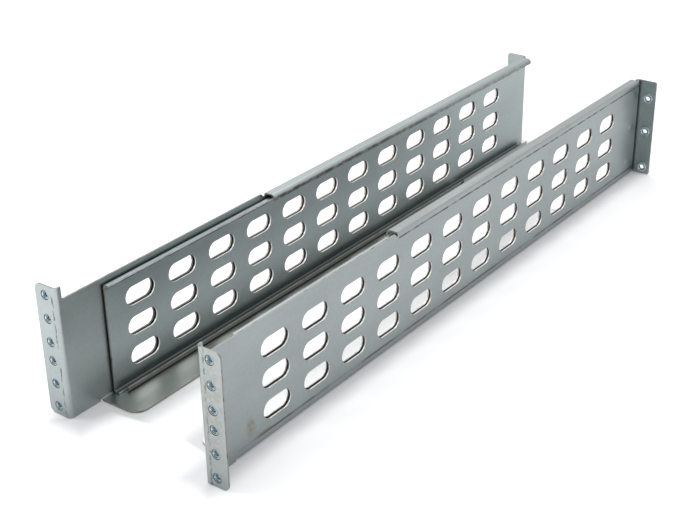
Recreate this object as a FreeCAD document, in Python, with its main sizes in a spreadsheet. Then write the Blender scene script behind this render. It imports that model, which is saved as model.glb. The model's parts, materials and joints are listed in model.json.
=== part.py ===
"""A pair of telescoping sheet-steel rails that carry equipment in a four-post rack.

Frame: millimetres, +Z up, +Y from the front ears to the rear ears, X across the pair.
The origin is midway between the rails and midway along them when closed, on their underside.
The pieces of the left rail are drawn in its own coordinates: x runs inward from the outer face
of its web, y runs rearward from the front face of its ear. The right rail is the mirror image.
"""
import FreeCAD, Part
import os
import Sketcher

SIZES = {
    # the pair as it stands
    "pair_width": 110.8,
    # sheet metal
    "sheet": 1.2,
    "bend": 1.8,
    "tight_bend": 0.8,
    # front section
    "front_length": 537.5,
    "lip_width": 9.6,
    "lip_start": 189.0,
    "lip_overlap": 0.9,
    "lip_rise": 4.7,
    "bottom_lip_length": 105.0,
    "shelf_width": 31.75,
    "shelf_start": 26.0,
    "shelf_corner": 9.0,
    "relief_width": 2.5,
    "relief_depth": 0.4,
    "notch_width": 0.8,
    "edge_corner": 2.0,
    # ears and the rack's hole pattern
    "ear_rise": 8.25,
    "ear_notch": 1.5,
    "ear_edge": 8.0,
    "ear_corner": 4.0,
    "ear_gap": 2.3,
    "rear_ear_rise": 0.55,
    "rear_ear_edge": 6.2,
    "rear_ear_corner": 2.0,
    "hole_inset": 8.2,
    "hole_edge": 6.35,
    "hole_step": 15.875,
    "hole_step_short": 12.7,
    # obround slots in both webs
    "slot_length": 25.4,
    "slot_height": 12.7,
    "slot_pitch": 38.1,
    "slot_first": 63.8,
    "slot_end_margin": 40.0,
    "row_pitch": 20.8,
    "row_margin": 8.0,
    "slot_lag": 0.4,
    # rear section and how it runs in the front one
    "rear_start": 35.5,
    "web_gap": 1.2,
    "flange_depth": 4.2,
    "slide_below": 0.3,
    "slide_above": 2.0,
    "end_clearance": 0.5,
    "flange_setback": 4.0,
    # guide strip on the shelf
    "strip_lead": 15.0,
    "strip_setback": 2.0,
    "strip_edge": 0.4,
    # clinch nuts
    "nut_body": 8.64,
    "nut_height": 2.29,
    "nut_shank": 6.32,
    "nut_recess": 0.23,
    "nut_bore": 4.31,
    "nut_clearance": 0.03,
}

doc = FreeCAD.newDocument("rack_rails")
sheet = doc.addObject("Spreadsheet::Sheet", "Sizes")
for row, (alias, size) in enumerate(SIZES.items(), start=1):
    sheet.set(f"A{row}", alias)
    sheet.set(f"B{row}", str(size))
    sheet.setAlias(f"B{row}", alias)
doc.recompute()

# Lengths that several features share, as expressions of the sheet's cells
THICK = "Sizes.sheet"
BEND_OUT = "(Sizes.sheet + Sizes.bend)"
TIGHT_OUT = "(Sizes.sheet + Sizes.tight_bend)"
EAR_HEIGHT = "(2 * Sizes.hole_edge + 4 * Sizes.hole_step + Sizes.hole_step_short)"
EAR_REACH = "(Sizes.hole_inset + Sizes.ear_edge)"
TOP = f"({EAR_HEIGHT} - Sizes.ear_rise)"
FRONT_END = "Sizes.front_length"
LIP_INSIDE = "(Sizes.lip_width - Sizes.sheet)"
LIP_DROP = "(Sizes.sheet + Sizes.slide_above + Sizes.lip_overlap)"
BOTTOM_LIP_START = "(Sizes.front_length - Sizes.bottom_lip_length)"
SHELF_END = f"({BOTTOM_LIP_START} - Sizes.relief_width)"
RELIEF_TOP = f"({TOP} - {TIGHT_OUT} - Sizes.relief_depth)"
RELIEF_BOTTOM = f"({TIGHT_OUT} + Sizes.relief_depth)"
REAR_OUTSIDE = "(Sizes.sheet + Sizes.web_gap)"
REAR_INSIDE = "(2 * Sizes.sheet + Sizes.web_gap)"
REAR_TIP = f"({REAR_OUTSIDE} + Sizes.flange_depth)"
REAR_BOTTOM = "(Sizes.sheet + Sizes.slide_below)"
REAR_TOP = f"({TOP} - Sizes.sheet - Sizes.slide_above)"
REAR_EAR = "(Sizes.front_length + Sizes.ear_gap)"
REAR_EAR_TOP = f"({TOP} + Sizes.rear_ear_rise)"
REAR_EAR_REACH = "(Sizes.hole_inset + Sizes.rear_ear_edge)"
FLANGE_END = "(Sizes.front_length - Sizes.flange_setback)"
NUT_HOLE = "(Sizes.nut_shank / 2 + Sizes.nut_clearance)"
HALF_LENGTH = f"(({REAR_EAR} + {THICK}) / 2)"

# Slots that fit along the web, and rows that fit up it
SLOT_ROOM = "(Sizes.front_length - Sizes.slot_end_margin - Sizes.slot_first - Sizes.slot_length / 2)"
SLOT_COLUMNS = f"(floor({SLOT_ROOM} / Sizes.slot_pitch) + 1)"
ROW_MIDDLE = f"(({REAR_BOTTOM} + {REAR_TOP}) / 2)"
ROW_ROOM = f"({TOP} - 2 * Sizes.row_margin - Sizes.slot_height)"
SLOT_ROWS = f"(floor({ROW_ROOM} / Sizes.row_pitch) + 1)"

# Hole heights that the ears take from the rack's repeating pattern, as counts of its two steps
STEPS_UP = ((0, 0), (1, 0), (2, 0), (2, 1), (3, 1), (4, 1))
FRONT_HOLES = [
    f"(Sizes.hole_edge + {long} * Sizes.hole_step + {short} * Sizes.hole_step_short)"
    for long, short in STEPS_UP
]
REAR_HOLES = [FRONT_HOLES[place] for place in (0, 2, 4)]


def number(expression):
    """The present value of an expression of the sheet's cells."""
    return float(sheet.evalExpression(expression))


def tie(sketch, kind, *where, to):
    """Add a dimension to a sketch and bind it to an expression."""
    index = sketch.addConstraint(Sketcher.Constraint(kind, *where, number(to)))
    sketch.setExpression(f"Constraints[{index}]", to)


def new_body(name, x, y, z="0"):
    """A named body with its own origin at a place in the part's frame."""
    body = doc.addObject("PartDesign::Body", name)
    body.Label = name
    for axis, place in zip("xyz", (x, y, z)):
        body.setExpression(f"Placement.Base.{axis}", place)
    return body


def left_body(name):
    """A body in the left rail's own coordinates."""
    return new_body(name, "-Sizes.pair_width / 2", f"-{HALF_LENGTH}")


def new_sketch(body, plane, name, offset=None):
    """A sketch on one of the body's origin planes, moved along the plane's normal by offset."""
    sketch = body.newObject("Sketcher::SketchObject", f"{body.Name}_{name}_sketch")
    support = next(item for item in body.Origin.OriginFeatures if item.Role == plane)
    sketch.AttachmentSupport = [(support, "")]
    sketch.MapMode = "FlatFace"
    if offset:
        sketch.setExpression("AttachmentOffset.Base.z", offset)
    return sketch


def outline(sketch, corners):
    """A closed outline of level and upright lines; each corner is (x, y) or (x, y, radius)."""
    corners = [corner if len(corner) == 3 else (*corner, None) for corner in corners]
    points = [FreeCAD.Vector(number(x), number(y), 0) for x, y, _ in corners]
    radii = [number(radius) if radius else 0.0 for _, _, radius in corners]
    lines = []
    for here, corner in enumerate(corners):
        after = (here + 1) % len(corners)
        along = (points[after] - points[here]).normalize()
        start = points[here] + along * radii[here]
        end = points[after] - along * radii[after]
        line = sketch.addGeometry(Part.LineSegment(start, end))
        upright = corner[0] == corners[after][0]
        sketch.addConstraint(Sketcher.Constraint("Vertical" if upright else "Horizontal", line))
        if upright:
            tie(sketch, "DistanceX", -1, 1, line, 1, to=corner[0])
        else:
            tie(sketch, "DistanceY", -1, 1, line, 1, to=corner[1])
        lines.append(line)
    for here, (_, _, radius) in enumerate(corners):
        before, after = lines[here - 1], lines[here]
        if not radius:
            sketch.addConstraint(Sketcher.Constraint("Coincident", before, 2, after, 1))
            continue
        into = (points[here] - points[here - 1]).normalize()
        out = (points[(here + 1) % len(corners)] - points[here]).normalize()
        begin = points[here] - into * radii[here]
        finish = points[here] + out * radii[here]
        middle = begin + out * radii[here] + (into - out) * (radii[here] * 0.5 ** 0.5)
        arc = sketch.addGeometry(Part.Arc(begin, middle, finish))
        turn_left = into.x * out.y - into.y * out.x > 0
        first, last = (1, 2) if turn_left else (2, 1)
        sketch.addConstraint(Sketcher.Constraint("Tangent", before, 2, arc, first))
        sketch.addConstraint(Sketcher.Constraint("Tangent", arc, last, after, 1))
        tie(sketch, "Radius", arc, to=radius)


def circle(sketch, x, y, radius):
    """A round hole."""
    centre = FreeCAD.Vector(number(x), number(y), 0)
    hole = sketch.addGeometry(Part.Circle(centre, FreeCAD.Vector(0, 0, 1), number(radius)))
    tie(sketch, "DistanceX", -1, 1, hole, 3, to=x)
    tie(sketch, "DistanceY", -1, 1, hole, 3, to=y)
    tie(sketch, "Radius", hole, to=radius)


def obround(sketch, x, y, length, height):
    """A level slot with round ends, centred on (x, y)."""
    radius = f"({height} / 2)"
    reach = f"(({length} - {height}) / 2)"
    centres = [f"({x} - {reach})", f"({x} + {reach})"]
    left, right = (FreeCAD.Vector(number(centre), number(y), 0) for centre in centres)
    up = FreeCAD.Vector(0, number(radius), 0)
    out = FreeCAD.Vector(number(radius), 0, 0)
    bottom = sketch.addGeometry(Part.LineSegment(left - up, right - up))
    right_end = sketch.addGeometry(Part.Arc(right - up, right + out, right + up))
    top = sketch.addGeometry(Part.LineSegment(right + up, left + up))
    left_end = sketch.addGeometry(Part.Arc(left + up, left - out, left - up))
    ring = (bottom, right_end, top, left_end)
    for here, piece in enumerate(ring):
        sketch.addConstraint(Sketcher.Constraint("Tangent", ring[here - 1], 2, piece, 1))
    for end, centre in ((left_end, centres[0]), (right_end, centres[1])):
        tie(sketch, "DistanceX", -1, 1, end, 3, to=centre)
        tie(sketch, "DistanceY", -1, 1, end, 3, to=y)
        tie(sketch, "Radius", end, to=radius)


def pad(body, sketch, length, reverse=False):
    """Grow a sketch into the body along its normal, or against it."""
    feature = body.newObject("PartDesign::Pad", f"{sketch.Name}_pad")
    feature.Profile = sketch
    feature.Reversed = reverse
    feature.setExpression("Length", length)
    doc.recompute()


def cut(body, sketch, reach):
    """Cut a sketch out of the body as far as reach on each side of its plane."""
    before = body.Shape.Volume
    feature = body.newObject("PartDesign::Pocket", f"{sketch.Name}_cut")
    feature.Profile = sketch
    feature.SideType = "Symmetric"
    feature.setExpression("Length", f"2 * {reach}")
    doc.recompute()
    if not body.Shape.Volume < before:
        raise RuntimeError(f"{feature.Name} cuts nothing")
    return feature


def slots(body, first):
    """The grid of slots in a web: one column about the slide's mid-height, repeated along the rail."""
    sketch = new_sketch(body, "YZ_Plane", "slots")
    for row in range(int(number(SLOT_ROWS))):
        height = f"({ROW_MIDDLE} + ({row} - ({SLOT_ROWS} - 1) / 2) * Sizes.row_pitch)"
        obround(sketch, first, height, "Sizes.slot_length", "Sizes.slot_height")
    column = cut(body, sketch, REAR_INSIDE)
    pattern = body.newObject("PartDesign::LinearPattern", f"{body.Name}_slot_pattern")
    pattern.Originals = [column]
    pattern.Direction = (sketch, ["H_Axis"])
    pattern.Mode = "Spacing"
    pattern.setExpression("Offset", "Sizes.slot_pitch")
    pattern.setExpression("Occurrences", SLOT_COLUMNS)
    body.Tip = pattern
    doc.recompute()


def ear_holes(body, heights, ear_face):
    """The holes in an ear that the nuts are pressed into."""
    sketch = new_sketch(body, "XZ_Plane", "ear_holes", f"-{ear_face}")
    for height in heights:
        circle(sketch, "-Sizes.hole_inset", height, NUT_HOLE)
    cut(body, sketch, BEND_OUT)


def round_edges(body, radius, belongs):
    """Round the body's straight edges whose direction and middle satisfy belongs."""
    base = body.Tip
    names = []
    for index, edge in enumerate(base.Shape.Edges, start=1):
        if edge.Curve.TypeId == "Part::GeomLine" and belongs(edge.Curve.Direction, edge.CenterOfMass):
            names.append(f"Edge{index}")
    feature = body.newObject("PartDesign::Fillet", f"{base.Name}_round")
    feature.Base = (base, names)
    feature.setExpression("Radius", radius)
    body.Tip = feature
    doc.recompute()


def lies_along(component):
    """True where a unit vector's component says that it lies along that axis."""
    return abs(component) > 0.99


def near(value, expression):
    """True where a coordinate lies on the plane that an expression gives."""
    return abs(value - number(expression)) < 1e-4


def round_ear(body, top, reach, radius):
    """Round the two outer corners of an ear."""
    def at_corner(direction, middle):
        at_end = near(middle.z, "0") or near(middle.z, top)
        return lies_along(direction.y) and at_end and near(middle.x, f"-{reach}")
    round_edges(body, radius, at_corner)


def front_section(name):
    """The outer section: slotted web, front ear, equipment shelf and the lips that hold the slide."""
    body = left_body(name)
    # ear and web, bent from one blank
    plan = new_sketch(body, "XY_Plane", "plan")
    outline(plan, [
        (f"-{EAR_REACH}", "0"),
        (THICK, "0", BEND_OUT),
        (THICK, FRONT_END),
        ("0", FRONT_END),
        ("0", THICK, "Sizes.bend"),
        (f"-{EAR_REACH}", THICK),
    ])
    pad(body, plan, EAR_HEIGHT)
    # top edge: plain behind the ear, then a relief slit, then the bend of the top lip
    slit = "(Sizes.lip_start - Sizes.relief_width)"
    ear_side = f"({BEND_OUT} + Sizes.ear_notch)"
    past_end = f"(2 * {FRONT_END})"
    past_top = f"(2 * {EAR_HEIGHT})"
    top_edge = new_sketch(body, "YZ_Plane", "top_edge")
    outline(top_edge, [
        (ear_side, TOP, "Sizes.ear_notch"),
        (slit, TOP, "Sizes.edge_corner"),
        (slit, RELIEF_TOP),
        ("Sizes.lip_start", RELIEF_TOP),
        ("Sizes.lip_start", f"({TOP} - {TIGHT_OUT})"),
        (past_end, f"({TOP} - {TIGHT_OUT})"),
        (past_end, past_top),
        (ear_side, past_top),
    ])
    cut(body, top_edge, BEND_OUT)
    # bottom edge: plain at the front, then reliefs at both ends of the shelf's bend
    shelf_relief = "(Sizes.shelf_start - Sizes.notch_width)"
    below = f"(-{EAR_HEIGHT})"
    bottom_edge = new_sketch(body, "YZ_Plane", "bottom_edge")
    outline(bottom_edge, [
        (shelf_relief, below),
        (past_end, below),
        (past_end, TIGHT_OUT),
        (BOTTOM_LIP_START, TIGHT_OUT),
        (BOTTOM_LIP_START, RELIEF_BOTTOM),
        (SHELF_END, RELIEF_BOTTOM),
        (SHELF_END, TIGHT_OUT),
        ("Sizes.shelf_start", TIGHT_OUT),
        ("Sizes.shelf_start", RELIEF_BOTTOM),
        (shelf_relief, RELIEF_BOTTOM),
    ])
    cut(body, bottom_edge, BEND_OUT)
    # top lip, folded over the rear section's upper flange
    top_lip = new_sketch(body, "XZ_Plane", "top_lip", "-Sizes.lip_start")
    outline(top_lip, [
        ("0", RELIEF_TOP),
        ("0", TOP, TIGHT_OUT),
        ("Sizes.lip_width", TOP, BEND_OUT),
        ("Sizes.lip_width", f"({TOP} - {LIP_DROP})"),
        (LIP_INSIDE, f"({TOP} - {LIP_DROP})"),
        (LIP_INSIDE, f"({TOP} - {THICK})", "Sizes.bend"),
        (THICK, f"({TOP} - {THICK})", "Sizes.tight_bend"),
        (THICK, RELIEF_TOP),
    ])
    pad(body, top_lip, f"{FRONT_END} - Sizes.lip_start", reverse=True)
    # bottom lip, folded up behind the shelf over the rear section's lower flange
    bottom_lip = new_sketch(body, "XZ_Plane", "bottom_lip", f"-{BOTTOM_LIP_START}")
    outline(bottom_lip, [
        ("0", RELIEF_BOTTOM),
        ("0", "0", TIGHT_OUT),
        ("Sizes.lip_width", "0", BEND_OUT),
        ("Sizes.lip_width", "Sizes.lip_rise"),
        (LIP_INSIDE, "Sizes.lip_rise"),
        (LIP_INSIDE, THICK, "Sizes.bend"),
        (THICK, THICK, "Sizes.tight_bend"),
        (THICK, RELIEF_BOTTOM),
    ])
    pad(body, bottom_lip, "Sizes.bottom_lip_length", reverse=True)
    # shelf that carries the equipment
    shelf = new_sketch(body, "XZ_Plane", "shelf", "-Sizes.shelf_start")
    outline(shelf, [
        ("0", RELIEF_BOTTOM),
        ("0", "0", TIGHT_OUT),
        ("Sizes.shelf_width", "0"),
        ("Sizes.shelf_width", THICK),
        (THICK, THICK, "Sizes.tight_bend"),
        (THICK, RELIEF_BOTTOM),
    ])
    pad(body, shelf, f"{SHELF_END} - Sizes.shelf_start", reverse=True)
    slots(body, "Sizes.slot_first")
    ear_holes(body, FRONT_HOLES, "0")
    round_ear(body, EAR_HEIGHT, EAR_REACH, "Sizes.ear_corner")

    def at_shelf_corner(direction, middle):
        at_end = near(middle.y, "Sizes.shelf_start") or near(middle.y, SHELF_END)
        return lies_along(direction.z) and at_end and near(middle.x, "Sizes.shelf_width")
    round_edges(body, "Sizes.shelf_corner", at_shelf_corner)
    return body


def rear_section(name):
    """The inner section: a shallow slotted channel with the rear ear, which slides out to the rear."""
    body = left_body(name)
    ear_back = f"({REAR_EAR} + {THICK})"
    plan = new_sketch(body, "XY_Plane", "plan")
    outline(plan, [
        (REAR_OUTSIDE, "Sizes.rear_start"),
        (REAR_INSIDE, "Sizes.rear_start"),
        (REAR_INSIDE, ear_back, BEND_OUT),
        (f"-{REAR_EAR_REACH}", ear_back),
        (f"-{REAR_EAR_REACH}", REAR_EAR),
        (REAR_OUTSIDE, REAR_EAR, "Sizes.bend"),
    ])
    pad(body, plan, REAR_EAR_TOP)
    # both long edges of the web: bend of the flange, relief, then a plain stretch up to the ear
    relief_end = f"({FLANGE_END} + Sizes.relief_width / 2)"
    ear_side = f"({FRONT_END} + Sizes.end_clearance)"
    edges = {
        "top": (f"(2 * {TOP})", REAR_TOP, -1),
        "bottom": (f"(-{TOP})", REAR_BOTTOM, 1),
    }
    for place, (outside, edge, inward) in edges.items():
        bent = f"({edge} + {inward} * {TIGHT_OUT})"
        relief = f"({bent} + {inward} * Sizes.relief_depth)"
        trim = new_sketch(body, "YZ_Plane", f"{place}_edge")
        outline(trim, [
            ("0", outside),
            ("0", bent),
            (FLANGE_END, bent),
            (FLANGE_END, relief),
            (relief_end, relief),
            (relief_end, edge),
            (ear_side, edge),
            (ear_side, outside),
        ])
        cut(body, trim, f"(2 * {REAR_INSIDE})")
        flange = new_sketch(body, "XZ_Plane", f"{place}_flange", "-Sizes.rear_start")
        outline(flange, [
            (REAR_OUTSIDE, relief),
            (REAR_OUTSIDE, edge, TIGHT_OUT),
            (REAR_TIP, edge),
            (REAR_TIP, f"({edge} + {inward} * {THICK})"),
            (REAR_INSIDE, f"({edge} + {inward} * {THICK})", "Sizes.tight_bend"),
            (REAR_INSIDE, relief),
        ])
        pad(body, flange, f"{FLANGE_END} - Sizes.rear_start", reverse=True)
    slots(body, "(Sizes.slot_first + Sizes.slot_lag)")
    ear_holes(body, REAR_HOLES, REAR_EAR)
    round_ear(body, REAR_EAR_TOP, REAR_EAR_REACH, "Sizes.rear_ear_corner")
    return body


def guide_strip(name):
    """The strip welded along the shelf in line with the bottom lip, which keeps the slide in place."""
    body = left_body(name)
    start = "(Sizes.shelf_start + Sizes.strip_lead)"
    section = new_sketch(body, "XZ_Plane", "section", f"-{start}")
    outline(section, [
        (LIP_INSIDE, THICK, "Sizes.strip_edge"),
        ("Sizes.lip_width", THICK, "Sizes.strip_edge"),
        ("Sizes.lip_width", "Sizes.lip_rise", "Sizes.strip_edge"),
        (LIP_INSIDE, "Sizes.lip_rise", "Sizes.strip_edge"),
    ])
    pad(body, section, f"{SHELF_END} - Sizes.strip_setback - {start}", reverse=True)
    return body


def clinch_nut(name, side, height, seat, half_turn):
    """A round nut whose shank is pressed into an ear, with its shoulder on the ear's face."""
    x = f"{side} * (Sizes.pair_width / 2 + Sizes.hole_inset)"
    body = new_body(name, x, f"{seat} - {HALF_LENGTH}", height)
    body.Placement.Rotation = FreeCAD.Rotation(FreeCAD.Vector(0, 0, 1), half_turn)
    shank_end = f"(Sizes.nut_recess - {THICK})"
    section = new_sketch(body, "XY_Plane", "section")
    outline(section, [
        ("Sizes.nut_bore / 2", shank_end),
        ("Sizes.nut_shank / 2", shank_end),
        ("Sizes.nut_shank / 2", "0"),
        ("Sizes.nut_body / 2", "0"),
        ("Sizes.nut_body / 2", "Sizes.nut_height"),
        ("Sizes.nut_bore / 2", "Sizes.nut_height"),
    ])
    turned = body.newObject("PartDesign::Revolution", f"{name}_turned")
    turned.Profile = section
    turned.ReferenceAxis = (section, ["V_Axis"])
    turned.Angle = 360
    doc.recompute()
    return body


def mirror_image(source, name):
    """The right rail's copy of a left piece."""
    image = doc.addObject("Part::Mirroring", name)
    image.Label = name
    image.Source = source
    image.Normal = (1, 0, 0)
    return image


pieces = []
for make in (front_section, rear_section, guide_strip):
    left_piece = make(f"left_{make.__name__}")
    pieces.append(left_piece)
    pieces.append(mirror_image(left_piece, f"right_{make.__name__}"))
for side_name, side in (("left", -1), ("right", 1)):
    for count, height in enumerate(FRONT_HOLES, start=1):
        pieces.append(clinch_nut(f"{side_name}_front_nut_{count}", side, height, THICK, 0))
    for count, height in enumerate(REAR_HOLES, start=1):
        pieces.append(clinch_nut(f"{side_name}_rear_nut_{count}", side, height, REAR_EAR, 180))
doc.recompute()

for item in doc.Objects:
    if "Invalid" in item.State or "Error" in item.State:
        raise RuntimeError(f"{item.Label} did not rebuild: {item.State}")
for piece in pieces:
    if piece.Shape.isNull() or not piece.Shape.isValid() or len(piece.Shape.Solids) != 1:
        raise RuntimeError(f"{piece.Label} is not one valid solid")

os.makedirs("parts", exist_ok=True)
for piece in pieces:
    piece.Shape.exportStep(os.path.join("parts", f"{piece.Label}.step"))
    print(f"{piece.Label}: {piece.Shape.Volume:.0f} mm3")
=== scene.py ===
"""Looks of the pair of telescoping rack rails: zinc-plated sheet steel on a plain white floor."""
import json
import math
from collections import namedtuple

import bmesh
import bpy
from mathutils import Matrix, Vector
from mathutils.bvhtree import BVHTree


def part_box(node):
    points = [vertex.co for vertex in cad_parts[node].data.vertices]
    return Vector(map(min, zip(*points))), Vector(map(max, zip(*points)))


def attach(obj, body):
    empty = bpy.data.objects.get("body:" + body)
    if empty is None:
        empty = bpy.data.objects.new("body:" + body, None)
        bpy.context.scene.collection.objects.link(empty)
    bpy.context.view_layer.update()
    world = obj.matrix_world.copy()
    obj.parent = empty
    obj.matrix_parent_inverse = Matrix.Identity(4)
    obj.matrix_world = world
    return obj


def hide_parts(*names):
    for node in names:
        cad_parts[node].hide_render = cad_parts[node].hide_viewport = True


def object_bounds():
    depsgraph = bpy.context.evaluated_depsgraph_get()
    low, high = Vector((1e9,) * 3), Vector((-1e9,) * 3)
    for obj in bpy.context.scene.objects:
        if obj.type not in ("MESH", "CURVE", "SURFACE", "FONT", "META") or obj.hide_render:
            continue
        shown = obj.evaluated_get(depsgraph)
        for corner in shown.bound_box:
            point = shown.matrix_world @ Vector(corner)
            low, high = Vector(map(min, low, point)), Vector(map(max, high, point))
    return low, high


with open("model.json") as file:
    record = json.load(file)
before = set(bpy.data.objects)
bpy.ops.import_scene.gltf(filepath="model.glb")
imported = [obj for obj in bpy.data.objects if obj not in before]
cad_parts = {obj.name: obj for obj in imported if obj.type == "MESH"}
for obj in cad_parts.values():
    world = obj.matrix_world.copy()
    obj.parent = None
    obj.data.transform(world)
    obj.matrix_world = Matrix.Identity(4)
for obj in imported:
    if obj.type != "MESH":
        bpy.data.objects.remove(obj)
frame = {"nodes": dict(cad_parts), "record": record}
cad_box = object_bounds()

# The photograph's camera: place in metres, angles in degrees, focal length in pixels of the image width
IMAGE_WIDTH = 700
FOCAL_PIXELS = 1340.75
SENSOR_WIDTH = 36.0
CAMERA_PLACE = Vector((0.48756, -0.71397, 0.44920))
CAMERA_YAW = 36.673
CAMERA_PITCH = -26.961
CAMERA_ROLL = -0.816
NEAR_CLIP = 0.01

# The sheet's thickness is the guide strip's, which is cut from the same stock
STRIP_LOW, STRIP_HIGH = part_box("left_guide_strip")
SHEET = STRIP_HIGH[0] - STRIP_LOW[0]
STRIP_FACE = abs(STRIP_HIGH[0])

# How the sheet's edges are broken
WELD_DISTANCE = 1e-6
FLAT_ANGLE = math.radians(0.5)
SHARP_ANGLE = math.radians(30)
EDGE_ROUND = 0.00016
EDGE_STEPS = 2
FLAT_WEIGHT = 100

# How the surfaces of a sheet are told apart, and the materials that they take
NUDGE = SHEET * 0.02
THROUGH_SHEET = SHEET * 1.2
WIDEST_HOLE = 0.03
FACES_ACROSS = 0.9
SHEET_FACE, CUT_FACE, HOLE_FACE, SIDE_FACE = range(4)

# Places on a rail in metres: out from the pair's middle plane, back from its middle and up from below.
# The two sections' webs lie side by side; the front one faces out and the rear one faces the other rail
FRONT_WEB = 0.0554
REAR_WEB = 0.0518
SHELF_WIDTH = 0.03175
SHELF_EDGE = FRONT_WEB - SHELF_WIDTH
SHELF_START = -0.2445
SHELF_END = 0.1595
SHELF_LOW = SHEET * 1.1
SHELF_HIGH = SHEET * 1.3
LIP_START = -0.0815
LIP_EDGE = 0.07825
LIP_TOP = 0.0806
REAR_EAR = 0.2600

# Lines that the bending tools left on a front section, and painted shade along its bottom edge: their places,
# which are across the pair on the ears, and their widths. A line has its full strength over the core of its
# width
TOP_CREASE = 0.0767
BOTTOM_CREASE = 0.0054
LEFT_EAR_CREASE = -0.0577
RIGHT_EAR_CREASE = 0.0592
FOLD_LINE = 0.0008
BOTTOM_LINE = FOLD_LINE * 1.3
# Painted contact shade rises this far from the front section's bottom edge
CONTACT_SHADE_RISE = FOLD_LINE * 2.5
EAR_LINE = 0.0011
LINE_CORE = 0.3
# Brown of the tool lines and of the painted shade along the bottom edge and the lip's lower edge
CREASE_AND_SHADE_BROWN = (0.078, 0.060, 0.050)

# Painted shade in the slide: darker in the lower corner of a rear section, on a line of its web below the
# lip's edge, at the lip's lower edge, where it fades towards the rear, and along the guide strip's foot
CORNER_LOW = 0.0030
CORNER_HIGH = 0.0062
CORNER_SHADE = 0.65
UNDER_LIP_SHADE_LINE = 0.0741
UNDER_LIP_SHADE_WIDTH = 0.0009
LIP_EDGE_SHADE_WIDTH = 0.0016
LIP_EDGE_SHADE_REAR = 0.5
FOOT_SHADE_LINE = 0.0007
FOOT_SHADE_RISE = 0.0018
FOOT_SHADE_STRENGTH = 0.9
SLIDE_SHADE_COLOUR = (0.040, 0.047, 0.044)

# Wear of handling and painted light: shelves that equipment has rubbed smoother, the right rail's painted
# much lighter than the left's as painted light, and darker streaks along the tops of the lips, which are
# weaker on the left rail
LEFT_SHELF = (0.405, 0.432, 0.405)
RIGHT_SHELF_PAINTED_LIGHT = (0.74, 0.75, 0.745)
SHELF_POLISH = 0.05
LIP_STREAK_GREY = (0.265, 0.275, 0.27)
LEFT_LIP_STREAK_SHARE = 0.25

# Marks on the right rail's web and front ear, and painted highlights of two stop dimples: place, reach along
# each axis and colour
MARKS_AND_HIGHLIGHTS = (
    ((FRONT_WEB, -0.2313, 0.0160), (0.002, 0.006, 0.009), (0.27, 0.22, 0.13)),
    ((FRONT_WEB, -0.2190, 0.0060), (0.002, 0.012, 0.002), (0.24, 0.20, 0.14)),
    # Two pale spots painted as the highlights of stop dimples
    ((FRONT_WEB, 0.2543, 0.0446), (0.002, 0.003, 0.003), (0.62, 0.66, 0.66)),
    ((FRONT_WEB, 0.2524, 0.0140), (0.002, 0.003, 0.003), (0.62, 0.66, 0.66)),
    ((0.0636, -0.2705, 0.0500), (0.014, 0.003, 0.060), (0.29, 0.29, 0.265)),
)
MARK_CORE = 0.2

# Noise: features a metre along each axis, octaves of detail and how strong the fine ones are
Noise = namedtuple("Noise", "scale detail rough", defaults=(4.0, 0.55))
CLOUDS = Noise((34, 13, 34), 6.0)
GRAIN = Noise((1500, 22, 1500), 3.0)
SPECKS = Noise((1900, 1900, 1900), 2.0)
SPANGLE = Noise((560, 430, 560), 2.0)
SPECKLE = Noise((300, 160, 300), 3.0)
SHEAR_LINES = Noise((900, 900, 900), 2.0)
TURNING = Noise((700, 5000, 700), 2.0)

# What breaks up lines and spots: a noise, two levels of it and the strength at each of them
Breaks = namedtuple("Breaks", "noise levels strengths", defaults=((0.0, 1.0),))
TOP_BREAKS = Breaks(SPECKLE, (0.35, 0.6), (0.3, 1.0))
BOTTOM_BREAKS = Breaks(Noise((60, 30, 60)), (0.36, 0.62), (0.15, 0.75))
CONTACT_SHADE_BREAKS = Breaks(SPECKLE, (0.3, 0.6), (0.5, 0.95))
LIP_EDGE_SHADE_BREAKS = Breaks(SPECKLE, (0.3, 0.6), (0.35, 0.9))
EAR_BREAKS = Breaks(Noise((800, 800, 260), 2.0), (0.46, 0.6), (0.0, 0.75))
UNDER_LIP_SHADE_BREAKS = Breaks(Noise((300, 90, 300), 3.0), (0.38, 0.58), (0.15, 0.85))
LIP_STREAKS = Breaks(Noise((1100, 14, 1100), 3.0), (0.35, 0.65), (0.2, 0.7))
MARK_BREAKS = Breaks(Noise((420, 420, 420)), (0.35, 0.6), (0.2, 0.7))
STAINS = Breaks(Noise((26, 18, 40), 5.0, 0.65), (0.6, 0.78), (0.0, 0.35))
EDGE_SPOTS = Breaks(Noise((160, 160, 160)), (0.5, 0.7))
NUT_CLOUDS = Breaks(Noise((500, 500, 500)), (0.35, 0.65))

# Zinc: what each noise adds to its tone, the tone's levels at its dark and its light colour, the levels of
# clouds and grain together where it is smoothest and roughest, how far those are from the roughness that a
# sheet is given, the bump's strength and depth, and the stains
CLOUD_SHARE = 0.55
SPANGLE_SHARE = 0.25
GRAIN_SHARE = 0.2
TONE_LEVELS = (0.32, 0.68)
ROUGH_LEVELS = (0.7, 1.3)
SMOOTHER = 0.05
ROUGHER = 0.06
ZINC_BUMP = (0.06, 0.0002)
STAIN_BROWN = (0.30, 0.29, 0.25)

# Cut edges and nuts: levels of their fine lines, roughness at those levels and bump; a punched wall has a
# land by the web's face, painted bright as a highlight, and is torn beyond it, painted dark as shade, darker
# towards the front of the rail
FINE_LEVELS = (0.3, 0.7)
EDGE_METAL = 0.75
EDGE_ROUGH = (0.28, 0.45)
EDGE_BUMP = (0.1, 0.0001)
LIT_LAND_WIDTH = 0.0009
TORN_SHADE_SPAN = (-0.2, 0.0)
TORN_SHADE_FRONT = (0.08, 0.07, 0.06)
TORN_SHADE_REAR = (0.46, 0.43, 0.40)
NUT_ROUGH = (0.16, 0.28)
NUT_BUMP = (0.05, 0.0001)

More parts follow.
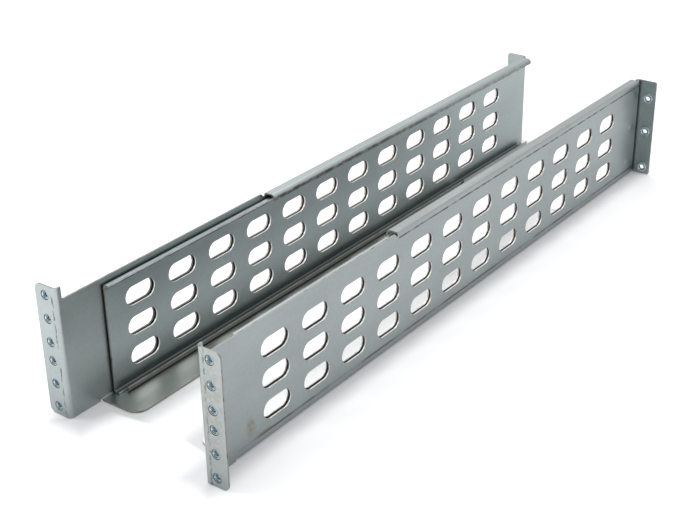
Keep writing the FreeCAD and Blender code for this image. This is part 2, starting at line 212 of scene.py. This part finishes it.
# The nuts' thread, a 10-32, and the shape round it
THREAD_PITCH = 0.000794
THREAD_MIDDLE = 0.002155
THREAD_DEPTH = 0.00024
NUT_CHAMFER = 0.00030
SINK_WIDTH = 0.00030
SINK_DEPTH = 0.00055
GROOVE_WIDTH = 0.00042
GROOVE_DEPTH = 0.00060
NUT_SIDES = 48
RINGS_A_TURN = 8
PAST_BORE = 1.1
SHORT_OF_RIM = 0.95
NUT_MATERIALS = {"plain": 0, "sink": 0, "thread": 1, "groove": 2}

# Light: the room's level on diffuse surfaces, its white where it is seen or mirrored, and two square lamps
Lamp = namedtuple("Lamp", "name place aim size watts")
ROOM_LIGHT = 0.65
ROOM_WHITE = 1.0
LAMPS = (
    Lamp("overhead", (-0.7, 0.5, 1.8), (0, 0, 0), 2.0, 16.0),
    Lamp("front", (-0.9, -0.8, 0.8), (-0.12, -0.4, 0), 0.5, 3.0),
)

# The floor, its lift to white, which is less in the shadow beside the rails and more between them, and the
# share of that lift that the metal mirrors, which is more in front of the rails and less between them
FLOOR_REACH = 6.0
FLOOR_LEVEL = -0.0002
FLOOR_WHITE = (0.88, 0.88, 0.90, 1)
FLOOR_ROUGH = 0.9
FLOOR_GLOW = 0.38
SHADOW_GLOW = 0.06
SHADOW_REACH = 0.018
END_REACH = 0.008
MIDDLE_START = -0.25
MIDDLE_RISE = 0.15
MIDDLE_GLOW = 0.53
FLOOR_MIRRORED = 0.6
FRONT_MIRRORED = 1.8
FRONT_POOL = 0.06
MIDDLE_MIRRORED = 0.35

# A place on a piece: the point, then across the pair, out from its middle plane, along the rail and up
Place = namedtuple("Place", "point side across along height")


def new_material(name):
    """An empty node material, its tree and its Principled shader."""
    material = bpy.data.materials.new(name)
    material.use_nodes = True
    tree = material.node_tree
    return material, tree, tree.nodes["Principled BSDF"]


def math_node(tree, operation, first, second=None):
    """A math node on one or two values; second may be a plain number."""
    node = tree.nodes.new("ShaderNodeMath")
    node.operation = operation
    tree.links.new(first, node.inputs[0])
    if isinstance(second, (int, float)):
        node.inputs[1].default_value = second
    elif second is not None:
        tree.links.new(second, node.inputs[1])
    return node.outputs["Value"]


def combine(tree, operation, *values):
    """Values joined one after another by a math operation; any but the first may be a plain number."""
    total = values[0]
    for value in values[1:]:
        total = math_node(tree, operation, total, value)
    return total


def times(tree, *values):
    """Product of values."""
    return combine(tree, "MULTIPLY", *values)


def most(tree, *values):
    """Largest of values."""
    return combine(tree, "MAXIMUM", *values)


def remap(tree, value, low, high, to_low=0.0, to_high=1.0):
    """Value between low and high, stretched smoothly to another range and held at its ends."""
    node = tree.nodes.new("ShaderNodeMapRange")
    node.interpolation_type = "SMOOTHSTEP"
    for key, number in zip(("From Min", "From Max", "To Min", "To Max"), (low, high, to_low, to_high)):
        node.inputs[key].default_value = number
    tree.links.new(value, node.inputs["Value"])
    return node.outputs["Result"]


def fade(tree, value, low, high):
    """1 where value is up to low, falling to 0 at high."""
    return remap(tree, value, low, high, 1.0, 0.0)


def line_at(tree, value, at, width):
    """1 on the plane where value equals at, falling to 0 at a width from it."""
    distance = math_node(tree, "ABSOLUTE", math_node(tree, "SUBTRACT", value, at))
    return fade(tree, distance, width * LINE_CORE, width)


def object_place(tree):
    """The place on a piece in its object coordinates, which are the frame's at rest for all but the nuts."""
    point = tree.nodes.new("ShaderNodeTexCoord").outputs["Object"]
    split = tree.nodes.new("ShaderNodeSeparateXYZ")
    tree.links.new(point, split.inputs["Vector"])
    side = split.outputs["X"]
    return Place(point, side, math_node(tree, "ABSOLUTE", side), split.outputs["Y"], split.outputs["Z"])


def noise(tree, place, pattern):
    """A noise's value at a place."""
    stretch = tree.nodes.new("ShaderNodeMapping")
    stretch.inputs["Scale"].default_value = pattern.scale
    tree.links.new(place.point, stretch.inputs["Vector"])
    texture = tree.nodes.new("ShaderNodeTexNoise")
    texture.inputs["Scale"].default_value = 1.0
    texture.inputs["Detail"].default_value = pattern.detail
    texture.inputs["Roughness"].default_value = pattern.rough
    tree.links.new(stretch.outputs["Vector"], texture.inputs["Vector"])
    return texture.outputs["Fac"]


def broken(tree, place, breaks):
    """Strength at a place of something that a noise breaks up."""
    return remap(tree, noise(tree, place, breaks.noise), *breaks.levels, *breaks.strengths)


def blend_colours(tree, amount, first, second):
    """First where amount is 0, second where it is 1; each is a colour or another node's output."""
    node = tree.nodes.new("ShaderNodeMix")
    node.data_type = "RGBA"
    tree.links.new(amount, node.inputs["Factor"])
    for socket, colour in zip((node.inputs[6], node.inputs[7]), (first, second)):
        if isinstance(colour, tuple):
            socket.default_value = (*colour, 1)
        else:
            tree.links.new(colour, socket)
    return node.outputs[2]


def bump(tree, shader, height, strength, distance):
    """Raise the surface by a height pattern."""
    node = tree.nodes.new("ShaderNodeBump")
    node.inputs["Strength"].default_value = strength
    node.inputs["Distance"].default_value = distance
    tree.links.new(height, node.inputs["Height"])
    tree.links.new(node.outputs["Normal"], shader.inputs["Normal"])


def creases_and_shade(tree, place):
    """Broken dark lines: tool lines beside the folds of a front section and along its lower part, painted
    contact shade along its bottom edge and painted shade along its lip's lower edge.
    """
    by_lip = remap(tree, place.along, LIP_START, LIP_START + FOLD_LINE)
    by_shelf = times(
        tree, remap(tree, place.along, SHELF_START, SHELF_START + FOLD_LINE),
        remap(tree, place.across, FRONT_WEB - FOLD_LINE, FRONT_WEB - FOLD_LINE / 2),
    )
    top = times(
        tree, line_at(tree, place.height, TOP_CREASE, FOLD_LINE), by_lip, broken(tree, place, TOP_BREAKS)
    )
    bottom = times(
        tree, line_at(tree, place.height, BOTTOM_CREASE, BOTTOM_LINE), by_shelf,
        broken(tree, place, BOTTOM_BREAKS),
    )
    contact_shade = times(tree, fade(tree, place.height, 0.0, CONTACT_SHADE_RISE), by_shelf, broken(tree, place, CONTACT_SHADE_BREAKS))
    ears = most(
        tree, line_at(tree, place.side, LEFT_EAR_CREASE, EAR_LINE),
        line_at(tree, place.side, RIGHT_EAR_CREASE, EAR_LINE),
    )
    dashes = times(tree, ears, broken(tree, place, EAR_BREAKS))
    lip_edge_shade = times(
        tree, line_at(tree, place.height, LIP_EDGE, LIP_EDGE_SHADE_WIDTH),
        fade(tree, place.across, STRIP_FACE, STRIP_FACE + SHEET), broken(tree, place, LIP_EDGE_SHADE_BREAKS),
        remap(tree, place.along, 0.0, SHELF_END, 1.0, LIP_EDGE_SHADE_REAR),
    )
    return most(tree, top, bottom, contact_shade, lip_edge_shade, dashes)


def on_shelf(tree, place):
    """1 at the shelf's height."""
    return fade(tree, place.height, SHELF_LOW, SHELF_HIGH)


def rubbed_and_lit_shelf(tree, place):
    """1 on the part of the shelf that equipment slides on, inward of the guide strip: rubbed smoother, and
    painted lighter on the right rail as painted light.
    """
    return times(tree, on_shelf(tree, place), fade(tree, place.across, STRIP_FACE - SHEET, STRIP_FACE))


def strip_foot_shade(tree, place):
    """1 on the shelf along the guide strip's foot, where shade is painted."""
    return times(
        tree, line_at(tree, place.across, STRIP_FACE, FOOT_SHADE_LINE), on_shelf(tree, place),
        remap(tree, place.along, STRIP_LOW[1] - SHEET, STRIP_LOW[1]),
    )


def slide_shade(tree, place):
    """Painted shade in the lower corner of a rear section as far as its ear, and a painted shade line on its
    web below the lip's edge.
    """
    corner = remap(tree, place.height, CORNER_LOW, CORNER_HIGH, CORNER_SHADE, 0.0)
    shade_line = times(tree, line_at(tree, place.height, UNDER_LIP_SHADE_LINE, UNDER_LIP_SHADE_WIDTH), broken(tree, place, UNDER_LIP_SHADE_BREAKS))
    return times(tree, most(tree, corner, shade_line), fade(tree, place.along, REAR_EAR, REAR_EAR + SHEET))


def darker_lip_streaks(tree, place):
    """Darker streaks along the top of the lip, weaker on the left rail."""
    return times(
        tree, remap(tree, place.height, LIP_TOP - SHEET, LIP_TOP),
        remap(tree, place.along, LIP_START, LIP_START + SHEET),
        fade(tree, place.across, FRONT_WEB, FRONT_WEB + SHEET), broken(tree, place, LIP_STREAKS),
        remap(tree, place.side, -SHEET, SHEET, LEFT_LIP_STREAK_SHARE, 1.0),
    )


def mark_at(tree, place, centre, reach):
    """Strongest at a point, falling unevenly to 0 at a reach along each axis."""
    nearness = tree.nodes.new("ShaderNodeMapping")
    nearness.inputs["Location"].default_value = [-middle / far for middle, far in zip(centre, reach)]
    nearness.inputs["Scale"].default_value = [1 / far for far in reach]
    tree.links.new(place.point, nearness.inputs["Vector"])
    length = tree.nodes.new("ShaderNodeVectorMath")
    length.operation = "LENGTH"
    tree.links.new(nearness.outputs["Vector"], length.inputs[0])
    return times(tree, fade(tree, length.outputs["Value"], MARK_CORE, 1.0), broken(tree, place, MARK_BREAKS))


def front_wear_and_shade(tree, place, colour, rough):
    """Wear of a front section and the light and shade painted on it: its rubbed shelf, painted lighter on the
    right rail, darker streaks along its lip, tool lines, painted shade, the marks of handling and painted
    highlights of two stop dimples.
    """
    polish_and_lit_shelf = rubbed_and_lit_shelf(tree, place)
    # The shelf's tone, painted much lighter on the right rail than on the left as painted light
    shelf_with_painted_light = blend_colours(tree, remap(tree, place.side, -SHEET, SHEET), LEFT_SHELF, RIGHT_SHELF_PAINTED_LIGHT)
    colour = blend_colours(tree, polish_and_lit_shelf, colour, shelf_with_painted_light)
    rough = math_node(tree, "SUBTRACT", rough, times(tree, polish_and_lit_shelf, SHELF_POLISH))
    colour = blend_colours(tree, darker_lip_streaks(tree, place), colour, LIP_STREAK_GREY)
    colour = blend_colours(tree, creases_and_shade(tree, place), colour, CREASE_AND_SHADE_BROWN)
    colour = blend_colours(tree, strip_foot_shade(tree, place), colour, SLIDE_SHADE_COLOUR)
    for centre, reach, tint in MARKS_AND_HIGHLIGHTS:
        colour = blend_colours(tree, mark_at(tree, place, centre, reach), colour, tint)
    return colour, rough


def rear_shade(tree, place, colour, rough):
    """Painted shade in the slide on a rear section."""
    return blend_colours(tree, slide_shade(tree, place), colour, SLIDE_SHADE_COLOUR), rough


def strip_shade(tree, place, colour, rough):
    """Painted shade that fades up the guide strip from its foot."""
    foot_shade = remap(tree, place.height, SHEET, SHEET + FOOT_SHADE_RISE, FOOT_SHADE_STRENGTH, 0.0)
    return blend_colours(tree, foot_shade, colour, SLIDE_SHADE_COLOUR), rough


def zinc_sheet(name, dark, light, roughness, wear_and_shade):
    """Zinc-plated sheet: cloudy satin grey, rolling grain along the rail, faint stains, and its wear and
    painted light and shade.
    """
    material, tree, shader = new_material(name)
    place = object_place(tree)
    clouds = noise(tree, place, CLOUDS)
    grain = noise(tree, place, GRAIN)
    spangle = noise(tree, place, SPANGLE)
    tone = combine(
        tree, "ADD", times(tree, clouds, CLOUD_SHARE), times(tree, spangle, SPANGLE_SHARE),
        times(tree, grain, GRAIN_SHARE),
    )
    colour = blend_colours(tree, remap(tree, tone, *TONE_LEVELS), dark, light)
    colour = blend_colours(tree, broken(tree, place, STAINS), colour, STAIN_BROWN)
    uneven = math_node(tree, "ADD", clouds, grain)
    rough = remap(tree, uneven, *ROUGH_LEVELS, roughness - SMOOTHER, roughness + ROUGHER)
    colour, rough = wear_and_shade(tree, place, colour, rough)
    tree.links.new(colour, shader.inputs["Base Color"])
    shader.inputs["Metallic"].default_value = 1.0
    tree.links.new(rough, shader.inputs["Roughness"])
    bump(tree, shader, math_node(tree, "ADD", grain, noise(tree, place, SPECKS)), *ZINC_BUMP)
    return material


def bare_edge(name, bright, dull, in_holes=False):
    """Cut edges with the shear's fine lines; those in holes have a land painted bright as a highlight and a
    torn wall beyond it painted dark as shade.
    """
    material, tree, shader = new_material(name)
    place = object_place(tree)
    shear = noise(tree, place, SHEAR_LINES)
    colour = blend_colours(tree, broken(tree, place, EDGE_SPOTS), bright, dull)
    if in_holes:
        lit_lands = most(
            tree, line_at(tree, place.side, FRONT_WEB, LIT_LAND_WIDTH),
            line_at(tree, place.across, REAR_WEB, LIT_LAND_WIDTH),
        )
        torn_shade = blend_colours(tree, remap(tree, place.along, *TORN_SHADE_SPAN), TORN_SHADE_FRONT, TORN_SHADE_REAR)
        colour = blend_colours(tree, lit_lands, torn_shade, colour)
    tree.links.new(colour, shader.inputs["Base Color"])
    shader.inputs["Metallic"].default_value = EDGE_METAL
    tree.links.new(remap(tree, shear, *FINE_LEVELS, *EDGE_ROUGH), shader.inputs["Roughness"])
    bump(tree, shader, shear, *EDGE_BUMP)
    return material


def turned_zinc(name, dark, light):
    """Bluish zinc on the turned nuts, with fine turning marks."""
    material, tree, shader = new_material(name)
    place = object_place(tree)
    turning = noise(tree, place, TURNING)
    colour = blend_colours(tree, broken(tree, place, NUT_CLOUDS), dark, light)
    tree.links.new(colour, shader.inputs["Base Color"])
    shader.inputs["Metallic"].default_value = 1.0
    tree.links.new(remap(tree, turning, *FINE_LEVELS, *NUT_ROUGH), shader.inputs["Roughness"])
    bump(tree, shader, turning, *NUT_BUMP)
    return material


def add_piece(name, mesh):
    """A mesh as an object in the scene."""
    piece = bpy.data.objects.new(name, mesh)
    bpy.context.scene.collection.objects.link(piece)
    return piece


def settle(piece, node, body):
    """Let a piece ride on a body and stand for a CAD node, which it hides."""
    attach(piece, body)
    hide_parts(node)


def mark_cut_faces(shape):
    """Give each face its material. A cut face has more metal behind it than the sheet is thick; one in a hole
    looks at another wall, and some of the others face across the rail."""
    tree = BVHTree.FromBMesh(shape)
    for face in shape.faces:
        middle = face.calc_center_median()
        nudge = face.normal * NUDGE
        if tree.ray_cast(middle - nudge, -face.normal, THROUGH_SHEET)[0] is not None:
            face.material_index = SHEET_FACE
        elif tree.ray_cast(middle + nudge, face.normal, WIDEST_HOLE)[0] is not None:
            face.material_index = HOLE_FACE
        else:
            face.material_index = SIDE_FACE if abs(face.normal.x) > FACES_ACROSS else CUT_FACE


def dressed_copy(node, body, *materials):
    """A copy of a CAD node with broken edges and bare cut faces, which stands for it. Its materials are those
    of the sheet's faces, the cut ones, those in holes and those that face across the rail."""
    shape = bmesh.new()
    shape.from_mesh(frame["nodes"][node].data)
    bmesh.ops.remove_doubles(shape, verts=shape.verts, dist=WELD_DISTANCE)
    shape.normal_update()
    mark_cut_faces(shape)
    bmesh.ops.dissolve_limit(
        shape, angle_limit=FLAT_ANGLE, verts=shape.verts, edges=shape.edges, delimit={"MATERIAL"}
    )
    sharp = [line for line in shape.edges if line.is_manifold and line.calc_face_angle() > SHARP_ANGLE]
    bmesh.ops.bevel(
        shape, geom=sharp, offset=EDGE_ROUND, segments=EDGE_STEPS, profile=0.5, affect="EDGES",
        clamp_overlap=True,
    )
    mesh = bpy.data.meshes.new(f"{node}_finish")
    shape.to_mesh(mesh)
    shape.free()
    for material in materials:
        mesh.materials.append(material)
    mesh.shade_smooth()
    mesh.set_sharp_from_angle(angle=SHARP_ANGLE)
    piece = add_piece(f"{node}_finish", mesh)
    flatten = piece.modifiers.new("flat_faces", "WEIGHTED_NORMAL")
    flatten.mode = "FACE_AREA"
    flatten.weight = FLAT_WEIGHT
    flatten.keep_sharp = True
    settle(piece, node, body)


def nut_rings(shank, shoulder, height):
    """The nut's section from its far end, as (place along the axis, radius, kind of surface before it)."""
    wide = THREAD_MIDDLE + THREAD_DEPTH + NUT_CHAMFER / 2
    rings = [
        (height, wide + NUT_CHAMFER, "plain"),
        (height, shoulder["radius"] - NUT_CHAMFER, "plain"),
        (height - NUT_CHAMFER / 3, shoulder["radius"] - NUT_CHAMFER / 3, "plain"),
        (height - NUT_CHAMFER, shoulder["radius"], "plain"),
        (shoulder["place"] + NUT_CHAMFER, shoulder["radius"], "plain"),
        (shoulder["place"], shoulder["radius"] - NUT_CHAMFER, "plain"),
        (shoulder["place"], shank, "plain"),
        (GROOVE_DEPTH, shank, "plain"),
        (0.0, shank - GROOVE_WIDTH, "groove"),
        (0.0, THREAD_MIDDLE + SINK_WIDTH, "plain"),
        (SINK_DEPTH, THREAD_MIDDLE, "sink"),
    ]
    first, last = SINK_DEPTH, height - NUT_CHAMFER
    steps = round((last - first) / THREAD_PITCH * RINGS_A_TURN)
    for step in range(1, steps + 1):
        rings.append((first + (last - first) * step / steps, THREAD_MIDDLE, "thread"))
    return rings


def nut_mesh(shank, shoulder, height):
    """A clinch nut along +Y from its shank end: shank, shoulder, body with broken edges and a cut thread."""
    shape = bmesh.new()
    rings = nut_rings(shank, shoulder, height)
    rows = []
    for place, radius, kind in rings:
        row = []
        for side in range(NUT_SIDES):
            turn = side / NUT_SIDES
            reach = radius
            if kind in ("sink", "thread"):
                phase = (place / THREAD_PITCH - turn) % 1.0
                reach += THREAD_DEPTH * (4 * abs(phase - 0.5) - 1)
            angle = math.tau * turn
            row.append(shape.verts.new((reach * math.cos(angle), place, reach * math.sin(angle))))
        rows.append(row)
    for here, row in enumerate(rows):
        before = rows[here - 1]
        for side in range(NUT_SIDES):
            after = (side + 1) % NUT_SIDES
            face = shape.faces.new((before[side], before[after], row[after], row[side]))
            face.material_index = NUT_MATERIALS[rings[here][2]]
    bmesh.ops.recalc_face_normals(shape, faces=shape.faces)
    mesh = bpy.data.meshes.new("clinch_nut")
    shape.to_mesh(mesh)
    shape.free()
    mesh.shade_smooth()
    mesh.set_sharp_from_angle(angle=SHARP_ANGLE)
    return mesh


def nut_sizes(node):
    """Shank radius, shoulder and height of a nut, read from its CAD node."""
    low, high = (Vector(corner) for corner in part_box(node))
    middle = (low + high) / 2
    radius = (high.x - low.x) / 2
    thin = []
    for vertex in frame["nodes"][node].data.vertices:
        reach = math.hypot(vertex.co.x - middle.x, vertex.co.z - middle.z)
        if THREAD_MIDDLE * PAST_BORE < reach < radius * SHORT_OF_RIM:
            thin.append((reach, vertex.co.y - low.y))
    shank = max(reach for reach, _ in thin)
    shoulder = max(place for _, place in thin)
    return shank, {"radius": radius, "place": shoulder}, high.y - low.y


def place_nut(node, body, mesh):
    """A detailed nut in the place of its CAD node; the rear ears' nuts face the other way."""
    low, high = (Vector(corner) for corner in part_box(node))
    middle = (low + high) / 2
    piece = add_piece(f"{node}_threaded", mesh)
    if "rear" in node:
        half_turn = Matrix.Rotation(math.pi, 4, "Z")
        piece.matrix_world = Matrix.Translation((middle.x, high.y, middle.z)) @ half_turn
    else:
        piece.matrix_world = Matrix.Translation((middle.x, low.y, middle.z))
    settle(piece, node, body)


def camera():
    """The photograph's viewpoint."""
    yaw, pitch, roll = (math.radians(angle) for angle in (CAMERA_YAW, CAMERA_PITCH, CAMERA_ROLL))
    forward = Vector((-math.sin(yaw) * math.cos(pitch), math.cos(yaw) * math.cos(pitch), math.sin(pitch)))
    right = Vector((math.cos(yaw), math.sin(yaw), 0))
    up = right.cross(forward)
    turned_right = right * math.cos(roll) + up * math.sin(roll)
    turned_up = up * math.cos(roll) - right * math.sin(roll)
    data = bpy.data.cameras.new("camera")
    data.sensor_width = SENSOR_WIDTH
    data.lens = SENSOR_WIDTH * FOCAL_PIXELS / IMAGE_WIDTH
    data.clip_start = NEAR_CLIP
    eye = bpy.data.objects.new("camera", data)
    axes = Matrix((turned_right, turned_up, -forward)).transposed()
    eye.matrix_world = Matrix.Translation(CAMERA_PLACE) @ axes.to_4x4()
    bpy.context.scene.collection.objects.link(eye)
    bpy.context.scene.camera = eye


def seen(tree, mirrored=None):
    """1 for rays from the camera, mirrored or else 1 for those that metal passes on, 0 for diffuse light."""
    path = tree.nodes.new("ShaderNodeLightPath").outputs
    passed_on = most(tree, path["Is Glossy Ray"], path["Is Transmission Ray"])
    if mirrored:
        passed_on = times(tree, passed_on, mirrored)
    return most(tree, path["Is Camera Ray"], passed_on)


def from_rails(tree, place):
    """Distance along the floor from what the two rails stand on, and from their inner edges alone."""
    by_shelf = times(
        tree, remap(tree, place.along, SHELF_START - END_REACH, SHELF_START),
        fade(tree, place.along, SHELF_END, SHELF_END + END_REACH),
    )
    inner = remap(tree, by_shelf, 0.0, 1.0, STRIP_FACE, SHELF_EDGE)
    between = math_node(tree, "SUBTRACT", inner, place.across)
    outside = math_node(tree, "SUBTRACT", place.across, FRONT_WEB)
    past_end = math_node(tree, "SUBTRACT", math_node(tree, "ABSOLUTE", place.along), cad_box[1][1])
    return most(tree, outside, between, past_end), between


def floor_white():
    """White that glows where it is seen or mirrored, less in the rails' shadow and more between them."""
    material, tree, shader = new_material("floor_white")
    shader.inputs["Base Color"].default_value = FLOOR_WHITE
    shader.inputs["Roughness"].default_value = FLOOR_ROUGH
    shader.inputs["Specular IOR Level"].default_value = 0.0
    shader.inputs["Emission Color"].default_value = (1, 1, 1, 1)
    place = object_place(tree)
    distance, between = from_rails(tree, place)
    front, rear = cad_box[0][1], cad_box[1][1]
    middle = times(
        tree, remap(tree, between, -SHEET, 0.0),
        remap(tree, place.along, MIDDLE_START, MIDDLE_START + MIDDLE_RISE),
        fade(tree, place.along, rear, rear + MIDDLE_RISE),
    )
    around = remap(tree, distance, 0.0, SHADOW_REACH, SHADOW_GLOW, FLOOR_GLOW)
    glow = most(tree, around, times(tree, middle, MIDDLE_GLOW))
    mirrored = times(
        tree, remap(tree, place.along, front - FRONT_POOL, front, FRONT_MIRRORED, FLOOR_MIRRORED),
        remap(tree, middle, 0.0, 1.0, 1.0, MIDDLE_MIRRORED),
    )
    tree.links.new(times(tree, seen(tree, mirrored), glow), shader.inputs["Emission Strength"])
    return material


def floor():
    """A white floor that keeps the object's shadow and shows as white as the photograph's background."""
    mesh = bpy.data.meshes.new("floor")
    turns = ((-1, -1), (1, -1), (1, 1), (-1, 1))
    corners = [(x * FLOOR_REACH, y * FLOOR_REACH, FLOOR_LEVEL) for x, y in turns]
    mesh.from_pydata(corners, [], [(0, 1, 2, 3)])
    mesh.materials.append(floor_white())
    plane = add_piece("floor", mesh)


def add_lamp(lamp):
    """A square lamp at its place, turned to the point that it aims at."""
    data = bpy.data.lights.new(lamp.name, "AREA")
    data.shape = "SQUARE"
    data.size = lamp.size
    data.energy = lamp.watts
    holder = bpy.data.objects.new(lamp.name, data)
    holder.location = lamp.place
    holder.rotation_euler = (Vector(lamp.aim) - Vector(lamp.place)).to_track_quat("-Z", "Y").to_euler()
    bpy.context.scene.collection.objects.link(holder)


def studio():
    """Soft light from a white room, a large lamp above and behind on the left, and a small one in front."""
    world = bpy.data.worlds.new("studio")
    bpy.context.scene.world = world
    world.use_nodes = True
    tree = world.node_tree
    background = tree.nodes["Background"]
    background.inputs["Color"].default_value = (1, 1, 1, 1)
    level = remap(tree, seen(tree), 0.0, 1.0, ROOM_LIGHT, ROOM_WHITE)
    tree.links.new(level, background.inputs["Strength"])
    for lamp in LAMPS:
        add_lamp(lamp)


front_zinc = zinc_sheet(
    "zinc_front", dark=(0.334, 0.374, 0.371), light=(0.412, 0.454, 0.454), roughness=0.38, wear_and_shade=front_wear_and_shade
)
rear_zinc = zinc_sheet(
    "zinc_rear", dark=(0.336, 0.387, 0.386), light=(0.420, 0.473, 0.473), roughness=0.36, wear_and_shade=rear_shade
)
strip_zinc = zinc_sheet(
    "zinc_strip", dark=(0.24, 0.235, 0.22), light=(0.33, 0.325, 0.305), roughness=0.38, wear_and_shade=strip_shade
)
sheared = bare_edge("zinc_sheared", bright=(0.31, 0.295, 0.275), dull=(0.17, 0.14, 0.115))
# Cut edges painted light as a highlight, for the rear sections' faces across the rail
lit_edge = bare_edge("zinc_edge_painted_light", bright=(0.80, 0.80, 0.79), dull=(0.58, 0.56, 0.53))
punched_lit_and_shaded = bare_edge("zinc_punched_lit_and_shaded", bright=(0.85, 0.84, 0.82), dull=(0.58, 0.53, 0.48), in_holes=True)

threaded_nut = nut_mesh(*nut_sizes("left_front_nut_1"))
# The nut's zinc, its thread painted dark as the shade in the bore, and its groove painted darker still as the
# shade in it
for nut_zinc_and_shade in (
    turned_zinc("zinc_nut", dark=(0.36, 0.43, 0.46), light=(0.60, 0.68, 0.71)),
    turned_zinc("zinc_thread", dark=(0.05, 0.10, 0.13), light=(0.24, 0.34, 0.40)),
    turned_zinc("zinc_groove", dark=(0.03, 0.035, 0.04), light=(0.08, 0.09, 0.10)),
):
    threaded_nut.materials.append(nut_zinc_and_shade)

for body_name, nodes in frame["record"]["behaviour"]["bodies"].items():
    for node_name in nodes:
        if "nut" in node_name:
            place_nut(node_name, body_name, threaded_nut)
        elif "strip" in node_name:
            dressed_copy(node_name, body_name, strip_zinc, sheared, punched_lit_and_shaded, sheared)
        elif "rear" in node_name:
            # The rear sections' cut faces across the rail take the cut edge painted light
            dressed_copy(node_name, body_name, rear_zinc, sheared, punched_lit_and_shaded, lit_edge)
        else:
            dressed_copy(node_name, body_name, front_zinc, sheared, punched_lit_and_shaded, sheared)

camera()
floor()
studio()
bpy.context.scene.view_settings.view_transform = "Standard"
